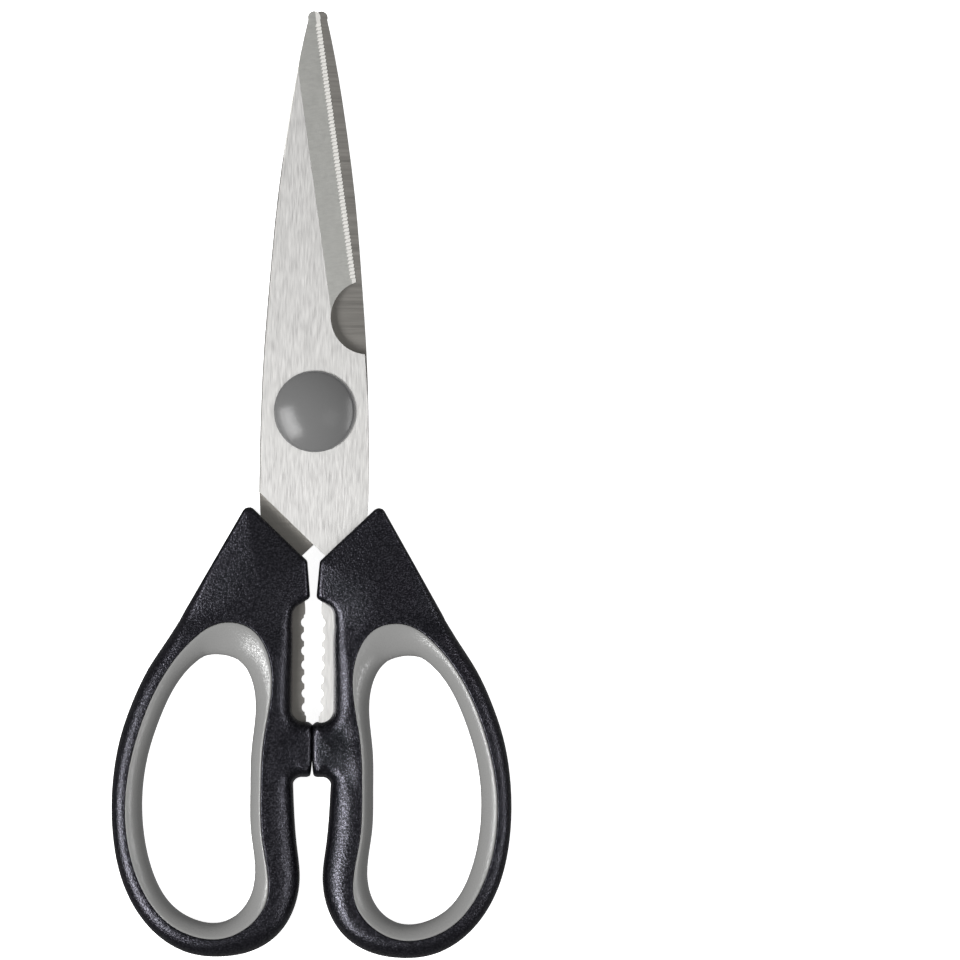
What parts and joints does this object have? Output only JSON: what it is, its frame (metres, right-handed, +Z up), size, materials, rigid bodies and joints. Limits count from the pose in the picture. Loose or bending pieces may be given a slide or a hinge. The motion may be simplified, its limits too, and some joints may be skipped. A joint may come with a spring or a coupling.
{
  "type": "kitchen shears",
  "caption": "Kitchen shears with two steel blades on one pivot, soft-lined finger bows, a serrated edge, a bone notch and a toothed nutcracker between the handles.",
  "frame": {"origin": "under the middle of the closed shears, on the surface that they lie on", "axes": "+Y from the bows to the blade tips, +X to the right seen from above, +Z up through the thickness"},
  "size_m": [0.0992, 0.2347, 0.012],
  "materials": {
    "blade_steel": "lengthwise brushed flats, crosswise ground bevel",
    "handle_plastic": "blue-black with a fine spark-eroded grain",
    "grip_rubber": "smooth mid-grey soft moulding",
    "cap_plastic": "satin grey",
    "pivot_steel": "plain turned"
  },
  "bodies": {
    "rear_half": {"rear_blade": "blade_steel", "rear_handle": "handle_plastic", "rear_grip": "grip_rubber"},
    "front_half": {"front_blade": "blade_steel", "front_handle": "handle_plastic", "front_grip": "grip_rubber", "pivot_bolt": "pivot_steel", "spring_washer": "pivot_steel", "flat_washer": "pivot_steel", "pivot_nut": "pivot_steel", "front_cap": "cap_plastic", "rear_cap": "cap_plastic"}
  },
  "joints": [
    {"name": "pivot", "type": "hinge", "parent": "rear_half", "child": "front_half", "pos_m": [0, 0.01805, 0.006], "axis": [0, 0, 1], "range_deg": [0, 118]}
  ]
}
